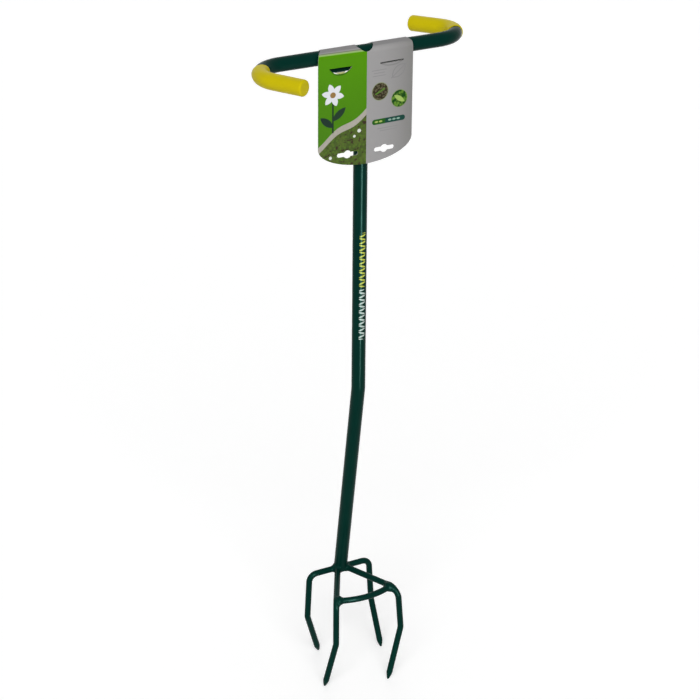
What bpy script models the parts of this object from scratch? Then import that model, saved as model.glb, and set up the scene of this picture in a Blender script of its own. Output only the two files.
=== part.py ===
"""Twist tiller: a bent tube shaft with an S-shaped handlebar, four twisted tines and a foot rest.

Metres, +Z up.  The origin is on the ground under the middle of the handlebar, +X runs along the
bar and -Y is the side the user stands on, where the foot rest is.
"""
from math import atan2, cos, exp, hypot, log, pi, radians, sin, sqrt, tan

import bmesh
import bpy
from mathutils import Matrix, Vector

# Driving dimensions
GAP = 0.0003                 # play left between pieces that touch

TUBE_R = 0.0113              # handlebar and shaft tube, with its coat
TUBE_WALL = 0.0015
ROD_R = 0.0052               # tine and foot rest rod

BAR_Z = 1.1074               # axis of the handlebar
BAR_HALF = 0.1339            # half length of its straight middle
BAR_BEND_R = 0.051           # centre line radius of the two end bends
BAR_TURN = radians(118)      # how far each end is bent back
BAR_LEG = {1: 0.0566, -1: 0.0550}    # straight return, left and right, to the tip of its grip
BAR_ROLL = {1: radians(-2.2), -1: radians(-5.2)}    # left and right end, about the bar's own axis

GRIP_R = 0.0127              # dipped grips
GRIP_END_ROUND = 0.0035
GRIP_END_WALL = 0.0020
GRIP_DIP_Y = 0.0245          # the dip line is parallel to the bar, this far from its axis

SHAFT_X = 0.0024             # the shaft sits a touch off the middle of the bar
SHAFT_BEND_Z = 0.5384
SHAFT_BEND_R = 0.075
SHAFT_EAR = 0.005            # the coped ears stop this far below the bar's axis

HUB_X = SHAFT_X + 0.0012     # foot of the shaft
HUB_Y = 0.0635               # set back so that a shoe fits in front of it
ARM_Z = 0.1674               # plane of the four arms
CORNER_R, WIDE_CORNER_R = 0.014, 0.020    # the front right corner is the wide one
KNEE_R = 0.016
FRONT_ROOTS = {"left": (-0.0038, 0.0635, CORNER_R), "right": (0.0077, 0.0650, WIDE_CORNER_R)}
# The legs are bent by hand, so each has its own shape: its corner from the shaft's middle, its knee
# from the corner with the height of the knee, and its tip from the knee
LEGS = {
    "rear_left": ((-0.0577, 0.0623), (-0.0036, 0.0007), 0.0858, (0.0298, 0.0183)),
    "rear_right": ((0.0567, 0.0659), (0.0047, -0.0010), 0.0896, (0.0101, -0.0209)),
    "front_left": ((-0.0573, -0.0392), (-0.0019, -0.0038), 0.0896, (-0.0116, 0.0197)),
    "front_right": ((0.0565, -0.0428), (0.0075, 0.0022), 0.0896, (-0.0288, -0.0110)),
}
POINT_LEN = 0.013
POINT_R = 0.0014
POINT_FLAT = 0.0006          # tips are dressed flat on the ground by this much

HUB_WELD_IN = 0.0090         # hub weld: inside of its ring, within the shaft's wall
HUB_WELD_R = 0.0145          # its radius between the arms
HUB_WELD_ARM = 0.0225        # how far it feathers out along an arm
HUB_WELD_SOFT = 0.0012       # rounding of its crotches
HUB_WELD_SIDES = 48

REST_LEFT, REST_BOW, REST_RIGHT = (-0.0531, -0.0310), (-0.0030, -0.0410), (0.0496, -0.0275)
REST_DROP = 0.0008

CARD_T = 0.0008              # card hung on the bar: front panel, wrap round the bar, two tabs
CARD_X = SHAFT_X - 0.0007
CARD_HALF = 0.0805
CARD_NECK, CARD_NECK_V, CARD_NECK_LEN = 0.0082, -0.005, 0.014    # narrower over the bar
CARD_SKEW, SKEW_LOW_V, SKEW_HIGH_V = 0.0052, 0.022, -0.005       # and pushed aside there
CARD_BOTTOM_Z = 0.9334
CARD_CORNER_H = 0.034
CARD_IN_R = 0.0117
CARD_LIFT = radians(8)       # the front strip leaves the bar this far from the top
CARD_STRIP = 0.00865         # its straight length, to the rounded shoulder of the front panel
SHOULDER_R = 0.0072
CARD_CREASE = 0.0033         # the panel's middle stands out this far
CARD_UNDER = radians(158)    # the tabs leave the bar this far round the back
FLAP_EDGE = radians(80)      # only the tabs go on below this
TAB_HALF, TAB_ROUND = 0.0195, 0.003
TAB_STOP = 0.0012            # a tab ends this far behind the panel
TAB_TONGUE, TAB_OUT = 0.0086, 0.0036    # but the left one has a tongue that goes on through its slit
NOTCH_V, NOTCH_HALF, NOTCH_FRONT, NOTCH_BACK = -0.002, 0.0148, 0.0197, 0.009
EURO_X, EURO_Z = 0.0315, 0.9534
EURO_W, EURO_H, EURO_BUMP_R = 0.035, 0.0068, 0.0064
# Half-moon slits: place across, height of the straight edge, width and opening
OPEN_SLIT, SHUT_SLIT = (-0.0434, 1.0943, 0.0374, 0.0098), (0.0436, 1.0924, 0.0400, 0.0014)
SLIT_FULL = 2.6

ARC_STEP = radians(9)
TUBE_RES, ROD_RES = 10, 5    # 24 and 14 sides


# Helpers
def clear_scene():
    for obj in list(bpy.data.objects):
        bpy.data.objects.remove(obj, do_unlink=True)


def material(name, colour, roughness, metallic=0.0):
    mat = bpy.data.materials.new(name)
    mat.use_nodes = True
    shader = mat.node_tree.nodes["Principled BSDF"]
    shader.inputs["Base Color"].default_value = (*colour, 1.0)
    shader.inputs["Roughness"].default_value = roughness
    shader.inputs["Metallic"].default_value = metallic
    return mat


def rounded_path(corners, radii, step=ARC_STEP):
    """Centre line through corners, each inner corner rounded with its own radius."""
    pts = [Vector(corners[0])]
    for before, at, after, r in zip(corners, corners[1:], corners[2:], radii):
        at = Vector(at)
        d_in = (at - Vector(before)).normalized()
        d_out = (Vector(after) - at).normalized()
        turn = d_in.angle(d_out)
        start = at - d_in * r * tan(turn / 2)
        side = (d_out - d_in * cos(turn)).normalized()
        steps = max(2, round(turn / step))
        for i in range(steps + 1):
            t = turn * i / steps
            pts.append(start + d_in * r * sin(t) + side * r * (1 - cos(t)))
    pts.append(Vector(corners[-1]))
    return pts


def curve_mesh(points, radius, res, scale=None, wall=None, cyclic=False):
    """Mesh of a round bar (capped) or, with a wall, of an open tube along the points."""
    crv = bpy.data.curves.new("path", "CURVE")
    crv.dimensions = "3D"
    crv.bevel_depth = radius
    crv.bevel_resolution = res
    crv.use_fill_caps = wall is None and not cyclic
    spline = crv.splines.new("POLY")
    spline.points.add(len(points) - 1)
    spline.use_cyclic_u = cyclic
    for i, p in enumerate(points):
        spline.points[i].co = (*p, 1.0)
        spline.points[i].radius = scale[i] if scale else 1.0
    obj = bpy.data.objects.new("path", crv)
    bpy.context.scene.collection.objects.link(obj)
    if wall:
        shell = obj.modifiers.new("wall", "SOLIDIFY")
        shell.thickness = wall
        shell.offset = -1.0
    bpy.context.view_layer.update()
    graph = bpy.context.evaluated_depsgraph_get()
    mesh = bpy.data.meshes.new_from_object(obj.evaluated_get(graph))
    bpy.data.objects.remove(obj, do_unlink=True)
    bpy.data.curves.remove(crv)
    return seal(mesh)


def seal(mesh):
    """Joins doubled points and turns every face outward."""
    bm = bmesh.new()
    bm.from_mesh(mesh)
    bmesh.ops.remove_doubles(bm, verts=bm.verts, dist=1e-6)
    bmesh.ops.recalc_face_normals(bm, faces=bm.faces)
    if bm.calc_volume(signed=True) < 0:
        bmesh.ops.reverse_faces(bm, faces=bm.faces)
    bm.to_mesh(mesh)
    bm.free()
    return mesh


def piece(name, mesh, mat, sharp=35):
    obj = bpy.data.objects.new(name, mesh)
    bpy.context.scene.collection.objects.link(obj)
    mesh.name = name
    mesh.materials.clear()
    mesh.materials.append(mat)
    mesh.shade_smooth()
    mesh.set_sharp_from_angle(angle=radians(sharp))
    return obj


def cutter(name, mesh):
    obj = bpy.data.objects.new(name, mesh)
    bpy.context.scene.collection.objects.link(obj)
    obj.hide_render = True
    obj.display_type = "WIRE"
    return obj


def cut(obj, *cutters):
    for c in cutters:
        mod = obj.modifiers.new("cut_" + c.name, "BOOLEAN")
        mod.operation = "DIFFERENCE"
        mod.object = c
    return obj


def closed_ring(sections):
    """Closed ring through like outlines that follow each other round an axis."""
    bm = bmesh.new()
    rings = [[bm.verts.new(p) for p in section] for section in sections]
    for a, b in zip(rings, rings[1:] + rings[:1]):
        for j in range(len(a)):
            k = (j + 1) % len(a)
            bm.faces.new((a[j], a[k], b[k], b[j]))
    mesh = bpy.data.meshes.new("ring")
    bm.to_mesh(mesh)
    bm.free()
    return seal(mesh)


def revolve(profile, steps, frame):
    """Closed ring from an (r, h) outline turned about the frame's Z axis."""
    turns = [2 * pi * i / steps for i in range(steps)]
    return closed_ring([[frame @ Vector((r * cos(a), r * sin(a), h)) for r, h in profile] for a in turns])


def prism(outline, low, high):
    """Straight prism of a flat (x, y) outline between two heights."""
    bm = bmesh.new()
    face = bm.faces.new([bm.verts.new((x, y, low)) for x, y in outline])
    top = bmesh.ops.extrude_face_region(bm, geom=[face])["geom"]
    bmesh.ops.translate(bm, vec=(0, 0, high - low),
                        verts=[v for v in top if isinstance(v, bmesh.types.BMVert)])
    mesh = bpy.data.meshes.new("prism")
    bm.to_mesh(mesh)
    bm.free()
    return seal(mesh)


def frame_at(origin, z_axis):
    """Frame with its origin at a point and its Z along a direction."""
    quat = Vector(z_axis).to_track_quat("Z", "Y")
    return Matrix.Translation(Vector(origin)) @ quat.to_matrix().to_4x4()


# Handlebar and grips
def bar_end(sign, leg, first=0.0):
    """Centre line of one end, from the bar's middle outwards: bend, then straight return."""
    steps = round(BAR_TURN / ARC_STEP)
    pts = []
    for i in range(steps + 1):
        t = BAR_TURN * i / steps
        if t >= first:
            pts.append((-BAR_HALF - BAR_BEND_R * sin(t), -BAR_BEND_R * (1 - cos(t))))
    heading = (-cos(BAR_TURN), -sin(BAR_TURN))
    ex, ey = pts[-1]
    pts += [(ex + heading[0] * u, ey + heading[1] * u) for u in leg]
    rise, run = sin(BAR_ROLL[sign]), cos(BAR_ROLL[sign])
    return [Vector((sign * x, sign * y * run, sign * y * rise + BAR_Z)) for x, y in pts]


def handlebar(mat):
    left, right = (bar_end(side, (BAR_LEG[side] - GRIP_END_WALL - GAP,)) for side in (1, -1))
    points = list(reversed(left)) + right
    return piece("handlebar_tube", curve_mesh(points, TUBE_R, TUBE_RES, wall=TUBE_WALL), mat)


def grip(name, sign, mat):
    """Dipped sleeve: follows the bend, rounded and closed at its end, open at the dip line."""
    start = radians(25)
    r = GRIP_END_ROUND
    arc = [pi / 2 * k / 4 for k in range(5)]
    leg = [BAR_LEG[sign] - r + r * sin(a) for a in arc]
    points = bar_end(sign, leg, start)
    plain = len(points) - len(leg)
    scale = [1.0] * plain + [1 - r / GRIP_R * (1 - cos(a)) for a in arc]
    skin = curve_mesh(points, GRIP_R, TUBE_RES, scale)
    core_pts = bar_end(sign, (BAR_LEG[sign] - GRIP_END_WALL,))
    core = cutter(name + "_bore", curve_mesh(core_pts, TUBE_R + GAP, TUBE_RES))
    far = 0.08
    y0, y1 = sorted((-sign * GRIP_DIP_Y, sign * far))
    x0, x1 = sorted((-sign * 0.09, -sign * 0.23))
    box = prism([(x0, y0), (x1, y0), (x1, y1), (x0, y1)], -far, far)
    box.transform(Matrix.Translation((0, 0, BAR_Z)) @ Matrix.Rotation(BAR_ROLL[sign], 4, "X"))
    line = cutter(name + "_dip_line", box)
    return cut(piece(name, skin, mat), core, line)


# Tine rods and foot rest
def leg_corners(name):
    """Corner, knee and tip of one tine."""
    corner, lean, knee_z, sweep = LEGS[name]
    corner = Vector((SHAFT_X + corner[0], corner[1], ARM_Z))
    knee = Vector((corner.x + lean[0], corner.y + lean[1], knee_z))
    return [corner, knee, Vector((knee.x + sweep[0], knee.y + sweep[1], -POINT_FLAT))]


def point_ends(points, both):
    """Adds the start of each ground point and says how the rod tapers there."""
    def side(pts):
        back = (pts[1] - pts[0]).normalized()
        return [pts[0], pts[0] + back * POINT_LEN * 0.45, pts[0] + back * POINT_LEN] + pts[1:]
    pts = list(points)
    pts = list(reversed(side(list(reversed(pts)))))
    scale = [1.0] * (len(pts) - 2) + [0.72, POINT_R / ROD_R]
    if both:
        pts = side(pts)
        scale = [POINT_R / ROD_R, 0.72, 1.0] + scale[1:]
    return pts, scale


def rod_shapes():
    """Centre lines of the three tine rods."""
    rear = list(reversed(leg_corners("rear_left"))) + leg_corners("rear_right")
    rear = rounded_path(rear, [KNEE_R, CORNER_R, CORNER_R, KNEE_R])
    fronts = {}
    for side, (x, y, corner_r) in FRONT_ROOTS.items():
        root = Vector((SHAFT_X + x, y, ARM_Z))
        fronts[side] = rounded_path([root] + leg_corners("front_" + side), [corner_r, KNEE_R])
    return rear, fronts


def rest_path():
    """Bowed foot rest: a plain arc between the two front rods, just short of their corners."""
    (ax, ay), (bx, by), (cx, cy) = REST_LEFT, REST_BOW, REST_RIGHT
    a2, b2, c2 = ax * ax + ay * ay, bx * bx + by * by, cx * cx + cy * cy
    twice = 2 * (ax * (by - cy) + bx * (cy - ay) + cx * (ay - by))
    x = (a2 * (by - cy) + b2 * (cy - ay) + c2 * (ay - by)) / twice
    y = (a2 * (cx - bx) + b2 * (ax - cx) + c2 * (bx - ax)) / twice
    r = hypot(ax - x, ay - y)
    first, last = atan2(ax - x, y - ay), atan2(cx - x, y - cy)
    turns = [first + (last - first) * i / 12 for i in range(13)]
    return [Vector((SHAFT_X + x + r * sin(t), y - r * cos(t), ARM_Z - REST_DROP)) for t in turns]


def tine_rod(name, points, both, mat):
    pts, scale = point_ends(points, both)
    rod = piece(name, curve_mesh(pts, ROD_R, ROD_RES, scale), mat)
    ground = cutter(name + "_ground", prism([(-0.2, -0.2), (0.2, -0.2), (0.2, 0.2), (-0.2, 0.2)],
                                            -0.05, 0.0))
    return cut(rod, ground)


# Welds
def handlebar_weld(mat, fat_bar):
    """Bead laid round the saddle where the shaft meets the bar."""
    pts, scale = [], []
    r = TUBE_R - 0.0001
    for i in range(32):
        a = 2 * pi * i / 32
        y = r * sin(a)
        drop = max(SHAFT_EAR, sqrt(max(TUBE_R ** 2 - y * y, 0.0)))
        pts.append(Vector((SHAFT_X + r * cos(a), y, BAR_Z - drop)))
        scale.append(1.0 - 0.22 * abs(sin(a)) ** 2)
    bead = piece("handlebar_weld", curve_mesh(pts, 0.0028, 3, scale, cyclic=True), mat)
    post = prism([(SHAFT_X + (TUBE_R + GAP) * cos(2 * pi * k / 48),
                   (TUBE_R + GAP) * sin(2 * pi * k / 48)) for k in range(48)],
                 BAR_Z - 0.05, BAR_Z - SHAFT_EAR + GAP)
    return cut(bead, fat_bar, cutter("shaft_post", post))


def to_segment(p, a, b):
    """Distance from a point to a straight segment, all in plan."""
    along = b - a
    t = min(max((p - a).dot(along) / along.length_squared, 0.0), 1.0)
    return (p - a - along * t).length


def hub_reach(angle, arms):
    """How far the hub's weld runs out that way: along an arm, or round the crotch between two."""
    way = Vector((cos(angle), sin(angle)))
    r = HUB_WELD_R
    while r < HUB_WELD_ARM:
        gaps = [to_segment(way * r, a, b) - ROD_R for a, b in arms] + [r - HUB_WELD_R]
        if -HUB_WELD_SOFT * log(sum(exp(-g / HUB_WELD_SOFT) for g in gaps)) > 0:
            break
        r += 0.0002
    return r


def hub_weld(mat, fat_shaft, fat_rods, lean):
    """Weld that climbs the leaning foot of the shaft and feathers out along the arms."""
    middle = Vector((HUB_X - SHAFT_X, HUB_Y))
    arms = [(Vector(LEGS["rear_left"][0]) - middle, Vector(LEGS["rear_right"][0]) - middle)]
    for side, root in FRONT_ROOTS.items():
        arms.append((Vector(root[:2]) - middle, Vector(LEGS["front_" + side][0]) - middle))
    profile = [(0.05, 0.0125), (0.10, 0.0104), (0.20, 0.0082), (0.37, 0.0062), (0.62, 0.0045),
               (0.92, 0.0027), (1.0, 0.0), (0.92, -0.0028), (0.60, -0.0046), (0.05, -0.0056)]
    rings = []
    for i in range(HUB_WELD_SIDES):
        angle = 2 * pi * i / HUB_WELD_SIDES
        span = hub_reach(angle, arms) - TUBE_R
        outline = [(HUB_WELD_IN, 0.0125)] + [(TUBE_R + t * span, h) for t, h in profile]
        outline.append((HUB_WELD_IN, -0.0056))
        rings.append([Vector((r * cos(angle), r * sin(angle) - h * lean, h)) for r, h in outline])
    mesh = closed_ring(rings)
    mesh.transform(Matrix.Translation((HUB_X, HUB_Y, ARM_Z)))
    return cut(piece("hub_weld", mesh, mat), fat_shaft, *fat_rods)


def rest_weld(name, at, direction, mat, fat_rod, fat_rest):
    """Flared collar where an end of the foot rest butts on a front rod."""
    profile = [(0.0036, 0.0138), (0.0052, 0.0138), (0.0056, 0.0118), (0.0064, 0.0098),
               (0.0076, 0.0080), (0.0083, 0.0060), (0.0080, 0.0036), (0.0036, 0.0036)]
    ring = piece(name, revolve(profile, 20, frame_at(at, direction)), mat)
    return cut(ring, fat_rod, fat_rest)


# Card
def card_half_width(v):
    """Half width of the flat blank, v down the front from the fold."""
    return CARD_HALF - CARD_NECK * exp(-(max(v - CARD_NECK_V, 0.0) / CARD_NECK_LEN) ** 2)


def smooth(t):
    t = min(max(t, 0.0), 1.0)
    return t * t * (3 - 2 * t)


def front_line(v):
    """Inner face in front: round the bar, straight strip, rounded shoulder, straight down."""
    r, a = CARD_IN_R, CARD_LIFT
    if v <= r * a:
        return r * sin(v / r), r * cos(v / r)
    out, up, d = r * sin(a), r * cos(a), v - r * a
    if d <= CARD_STRIP:
        return out + d * cos(a), up - d * sin(a)
    out, up, d = out + CARD_STRIP * cos(a), up - CARD_STRIP * sin(a), d - CARD_STRIP
    turn = min(a + d / SHOULDER_R, pi / 2)
    d -= SHOULDER_R * (turn - a)
    return out + SHOULDER_R * (sin(turn) - sin(a)), up - SHOULDER_R * (cos(a) - cos(turn)) - d


def card_line(x, v):
    """Inner face of the card at v along the flat blank: out from the bar's axis, and up."""
    if v >= 0:
        out, up = front_line(v)
        return out + CARD_CREASE * (1 - abs(x) / CARD_HALF) * smooth((v - 0.002) / 0.012), up
    r, a = CARD_IN_R, min(-v / CARD_IN_R, CARD_UNDER)
    d = -v - r * a
    return r * sin(a) + d * cos(a), r * cos(a) - d * sin(a)


def card_point(x, v, w):
    """Where a point of the flat blank lies once the card is bent, seen from the bar's axis."""
    side = -1.0 if v >= 0 else 1.0
    y, z = card_line(x, v)
    y2, z2 = card_line(x, v - side * 1e-4)
    dy, dz = y2 - y, z2 - z
    length = hypot(dy, dz)
    x += CARD_SKEW * smooth((SKEW_LOW_V - v) / (SKEW_LOW_V - SKEW_HIGH_V))
    return Vector((CARD_X + x, side * (y - w * dz / length), z + w * dy / length))


def blank_v(z):
    """Place along the flat blank of a height on the front panel."""
    return 0.1 + BAR_Z + front_line(0.1)[1] - z


def tab_reach():
    """Length along the blank from the fold, over the back, to where a tab meets the front panel."""
    reach = CARD_IN_R * CARD_UNDER
    while True:
        y, z = card_line(OPEN_SLIT[0], -reach)
        if -y >= card_line(OPEN_SLIT[0], blank_v(BAR_Z + z))[0]:
            return reach
        reach += 0.0001


def tab_side(cx, reach, tongue, sign):
    """One edge of a tab in the flat: flap, straight side, end, then half of its tongue if any."""
    edge, stop = -CARD_IN_R * FLAP_EDGE, TAB_STOP - reach
    pts = [(TAB_HALF + TAB_ROUND, edge), (TAB_HALF, edge - TAB_ROUND), (TAB_HALF, stop + TAB_ROUND),
           (TAB_HALF - 0.3 * TAB_ROUND, stop + 0.3 * TAB_ROUND), (TAB_HALF - TAB_ROUND, stop)]
    turns = [pi / 2 * k / 5 for k in range(6)] if tongue else [pi / 2]
    pts += [(TAB_TONGUE * cos(a), stop - tongue * sin(a)) for a in turns]
    return [(cx + sign * x, v) for x, v in pts]


def capsule(cx, cy, width, height, n=5):
    """Outline of a slot with round ends."""
    r = height / 2
    half = width / 2 - r
    out = []
    for s, base in ((1, -pi / 2), (-1, pi / 2)):
        out += [(cx + s * half + r * cos(base + pi * k / n), cy + r * sin(base + pi * k / n))
                for k in range(n + 1)]
    return out


def disc(cx, cy, r, n):
    return [(cx + r * cos(2 * pi * k / n), cy + r * sin(2 * pi * k / n)) for k in range(n)]


def card_holes(reach):
    """Outlines that are cut from the flat blank."""
    turns = [2 * pi * k / 24 for k in range(24)]
    holes = {"notch": [(NOTCH_HALF * cos(t), NOTCH_V + (NOTCH_FRONT if t < pi else NOTCH_BACK) * sin(t))
                       for t in turns]}
    for name, cx in (("left", -EURO_X), ("right", EURO_X)):
        cy = blank_v(EURO_Z)
        holes[name + "_slot"] = capsule(cx, cy, EURO_W, EURO_H)
        holes[name + "_slot_bump"] = disc(cx, cy, EURO_BUMP_R, 16)
    for name, (cx, height, width, sag) in (("open", OPEN_SLIT), ("shut", SHUT_SLIT)):
        cy = blank_v(height)
        steps = [k / 6 - 1 for k in range(13)]
        holes[name + "_slit"] = [(cx + width / 2 * u, cy + sag * (1 - abs(u) ** SLIT_FULL)) for u in steps]
        holes[name + "_slit"].append((cx, cy - 0.0002))

    far = 0.2
    edge = [(-far, -CARD_IN_R * FLAP_EDGE)]
    for cx, tongue in ((OPEN_SLIT[0], TAB_STOP + TAB_OUT), (SHUT_SLIT[0], 0.0)):
        edge += tab_side(cx - CARD_SKEW, reach, tongue, -1)
        edge += reversed(tab_side(cx - CARD_SKEW, reach, tongue, 1)[:-1])
    holes["round_tabs"] = edge + [(far, -CARD_IN_R * FLAP_EDGE), (far, -far), (-far, -far)]
    return holes


def flat_blank(mat, reach):
    """The card before it is bent: rows of faces across its width."""
    lift = CARD_IN_R * CARD_LIFT
    shoulder = lift + CARD_STRIP
    panel = shoulder + SHOULDER_R * (pi / 2 - CARD_LIFT)
    front = [lift, lift + CARD_STRIP * 0.33, lift + CARD_STRIP * 0.67]
    front += [shoulder + (panel - shoulder) * k / 7 for k in range(8)]
    front += [panel + d for d in (0.006, 0.03, 0.07, 0.11)]
    corner = blank_v(CARD_BOTTOM_Z + CARD_CORNER_H)
    under = CARD_IN_R * CARD_UNDER
    back = [under * k / 14 for k in range(15)] + [under + 0.008, reach + 0.006]
    lines = [(-s, card_half_width(-s)) for s in reversed(back)]
    lines += [(s, card_half_width(s)) for s in front]
    lines += [(corner + CARD_CORNER_H * sin(radians(a)), CARD_HALF * cos(radians(a)))
              for a in (0, 15, 30, 42, 53, 63, 71, 78, 84)]
    bm = bmesh.new()
    grid = [[[bm.verts.new((u * w, v, t)) for u in (-1, -0.5, 0, 0.5, 1)] for t in (0, CARD_T)]
            for v, w in lines]
    for a, b in zip(grid, grid[1:]):
        for k in range(4):
            bm.faces.new((a[1][k], a[1][k + 1], b[1][k + 1], b[1][k]))
            bm.faces.new((a[0][k + 1], a[0][k], b[0][k], b[0][k + 1]))
        bm.faces.new((a[0][0], a[1][0], b[1][0], b[0][0]))
        bm.faces.new((a[1][4], a[0][4], b[0][4], b[1][4]))
    for row, flip in ((grid[0], False), (grid[-1], True)):
        for k in range(4):
            q = (row[0][k], row[0][k + 1], row[1][k + 1], row[1][k])
            bm.faces.new(reversed(q) if flip else q)
    mesh = bpy.data.meshes.new("blank")
    bm.to_mesh(mesh)
    bm.free()
    return piece("card_blank", seal(mesh), mat)


def card(mat):
    reach = tab_reach()
    blank = flat_blank(mat, reach)
    tools = [cutter(name, prism(outline, -0.01, 0.01)) for name, outline in card_holes(reach).items()]
    cut(blank, *tools)
    bpy.context.view_layer.update()
    graph = bpy.context.evaluated_depsgraph_get()
    flat = bpy.data.meshes.new_from_object(blank.evaluated_get(graph))
    for obj in [blank] + tools:
        bpy.data.objects.remove(obj, do_unlink=True)

    bm = bmesh.new()
    bm.from_mesh(flat)
    bmesh.ops.remove_doubles(bm, verts=bm.verts, dist=1e-6)
    bmesh.ops.triangulate(bm, faces=bm.faces)
    for vert in bm.verts:
        x, v, w = vert.co
        vert.co = card_point(x, v, w)
    bm.to_mesh(flat)
    bm.free()
    sleeve = piece("card_sleeve", seal(flat), mat)
    sleeve.location.z = BAR_Z


# Assembly
def build():
    clear_scene()
    green = material("green_powder_coat", (0.004, 0.045, 0.034), 0.38)
    yellow = material("yellow_vinyl", (0.62, 0.55, 0.01), 0.45)
    board = material("printed_card", (0.38, 0.37, 0.37), 0.6)

    handlebar(green)
    grip("left_grip", 1, yellow)
    grip("right_grip", -1, yellow)

    rear, fronts = rod_shapes()
    rest = rest_path()
    fat = ROD_R + GAP
    fat_rear = cutter("rear_rod_room", curve_mesh(rear, fat, ROD_RES))
    fat_left = cutter("front_left_rod_room", curve_mesh(fronts["left"], fat, ROD_RES))
    fat_right = cutter("front_right_rod_room", curve_mesh(fronts["right"], fat, ROD_RES))
    fat_rest = cutter("rest_room", curve_mesh(rest, fat, ROD_RES))
    fat_bar = cutter("bar_room", curve_mesh([Vector((-0.12, 0, BAR_Z)), Vector((0.12, 0, BAR_Z))],
                                            TUBE_R + GAP, TUBE_RES))

    tine_rod("rear_tine_rod", rear, True, green)
    cut(tine_rod("front_left_tine_rod", fronts["left"], False, green), fat_rear)
    cut(tine_rod("front_right_tine_rod", fronts["right"], False, green), fat_rear)

    top = Vector((SHAFT_X, 0, BAR_Z - SHAFT_EAR))
    bend = Vector((SHAFT_X, 0, SHAFT_BEND_Z))
    hub = Vector((HUB_X, HUB_Y, ARM_Z))
    down = (hub - bend).normalized()
    line = rounded_path([top, bend, hub + down * 0.0015], [SHAFT_BEND_R], radians(2.5))
    shaft = piece("shaft_tube", curve_mesh(line, TUBE_R, TUBE_RES, wall=TUBE_WALL), green)
    cut(shaft, fat_bar, fat_rear, fat_left, fat_right)

    handlebar_weld(green, fat_bar)
    foot = curve_mesh([hub - down * 0.05, hub + down * 0.0018], TUBE_R + GAP, TUBE_RES)
    lean = HUB_Y / (SHAFT_BEND_Z - ARM_Z)
    hub_weld(green, cutter("shaft_foot_room", foot), (fat_rear, fat_left, fat_right), lean)

    bar = piece("foot_rest_bar", curve_mesh(rest, ROD_R, ROD_RES), green)
    cut(bar, fat_left, fat_right)
    along = (rest[1] - rest[0]).normalized()
    rest_weld("foot_rest_weld_left", rest[0], along, green, fat_left, fat_rest)
    along = (rest[-2] - rest[-1]).normalized()
    rest_weld("foot_rest_weld_right", rest[-1], along, green, fat_right, fat_rest)

    card(board)


build()
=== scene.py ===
"""Looks of the twist tiller: powder-coated tube and rod, hand-welded joints, dipped grips, printed card.

Metres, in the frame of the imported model.  -Y is the user's side.  Each visible piece stands for the
solid of the same place, with finer curves, and rides on its body.
"""
from math import atan2, cos, exp, hypot, pi, radians, sin, tan

import bmesh
import bpy
import numpy as np
from mathutils import Matrix, Vector


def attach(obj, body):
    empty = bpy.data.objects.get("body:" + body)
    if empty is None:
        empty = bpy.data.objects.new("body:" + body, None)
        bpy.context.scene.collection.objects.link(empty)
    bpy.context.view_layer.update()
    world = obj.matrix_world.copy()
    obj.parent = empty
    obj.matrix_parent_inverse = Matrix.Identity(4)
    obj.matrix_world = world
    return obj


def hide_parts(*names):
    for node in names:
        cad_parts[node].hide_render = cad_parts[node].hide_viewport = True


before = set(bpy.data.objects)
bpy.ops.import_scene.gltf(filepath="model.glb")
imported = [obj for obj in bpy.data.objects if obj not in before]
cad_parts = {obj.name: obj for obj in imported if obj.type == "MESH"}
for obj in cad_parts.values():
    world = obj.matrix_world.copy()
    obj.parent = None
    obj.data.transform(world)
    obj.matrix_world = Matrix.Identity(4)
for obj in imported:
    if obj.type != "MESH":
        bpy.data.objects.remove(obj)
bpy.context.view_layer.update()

# Driving dimensions, as in the part's source
TUBE_R, TUBE_WALL = 0.0113, 0.0015
ROD_R = 0.0052
BAR_Z, BAR_HALF, BAR_BEND_R = 1.1074, 0.1339, 0.051    # handlebar: height, half its middle, end bends
BAR_TURN, BAR_LEG = radians(118), {1: 0.0566, -1: 0.0550}    # each end's turn and straight return
BAR_ROLL = {1: radians(-2.2), -1: radians(-5.2)}    # left and right end, about the bar's own axis
GRIP_R, GRIP_END_ROUND, GRIP_DIP_Y = 0.0127, 0.0035, 0.0245
SHAFT_X, SHAFT_BEND_Z, SHAFT_BEND_R = 0.0024, 0.5384, 0.075
HUB_X, HUB_Y, ARM_Z = SHAFT_X + 0.0012, 0.0635, 0.1674
CORNER_R, WIDE_CORNER_R, KNEE_R = 0.014, 0.020, 0.016
FRONT_ROOTS = {"left": (-0.0038, 0.0635, CORNER_R), "right": (0.0077, 0.0650, WIDE_CORNER_R)}
LEGS = {                     # corner from the shaft, knee from the corner, its height, tip from the knee
    "rear_left": ((-0.0577, 0.0623), (-0.0036, 0.0007), 0.0858, (0.0298, 0.0183)),
    "rear_right": ((0.0567, 0.0659), (0.0047, -0.0010), 0.0896, (0.0101, -0.0209)),
    "front_left": ((-0.0573, -0.0392), (-0.0019, -0.0038), 0.0896, (-0.0116, 0.0197)),
    "front_right": ((0.0565, -0.0428), (0.0075, 0.0022), 0.0896, (-0.0288, -0.0110)),
}
POINT_LEN, POINT_R, POINT_FLAT = 0.013, 0.0014, 0.0006
REST_LEFT, REST_BOW, REST_RIGHT = (-0.0531, -0.0310), (-0.0030, -0.0410), (0.0496, -0.0275)
REST_DROP = 0.0008
CARD_T, CARD_X, CARD_HALF = 0.0008, SHAFT_X - 0.0007, 0.0805
CARD_NECK, CARD_NECK_V, CARD_NECK_LEN = 0.0082, -0.005, 0.014    # narrower over the bar
CARD_SKEW, SKEW_LOW_V, SKEW_HIGH_V = 0.0052, 0.022, -0.005       # and pushed aside there
CARD_BOTTOM_Z, CARD_CORNER_H = 0.9334, 0.034
CARD_IN_R, CARD_LIFT = 0.0117, radians(8)    # the front strip leaves the bar this far from the top
CARD_STRIP, SHOULDER_R, CARD_CREASE = 0.00865, 0.0072, 0.0033
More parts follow.
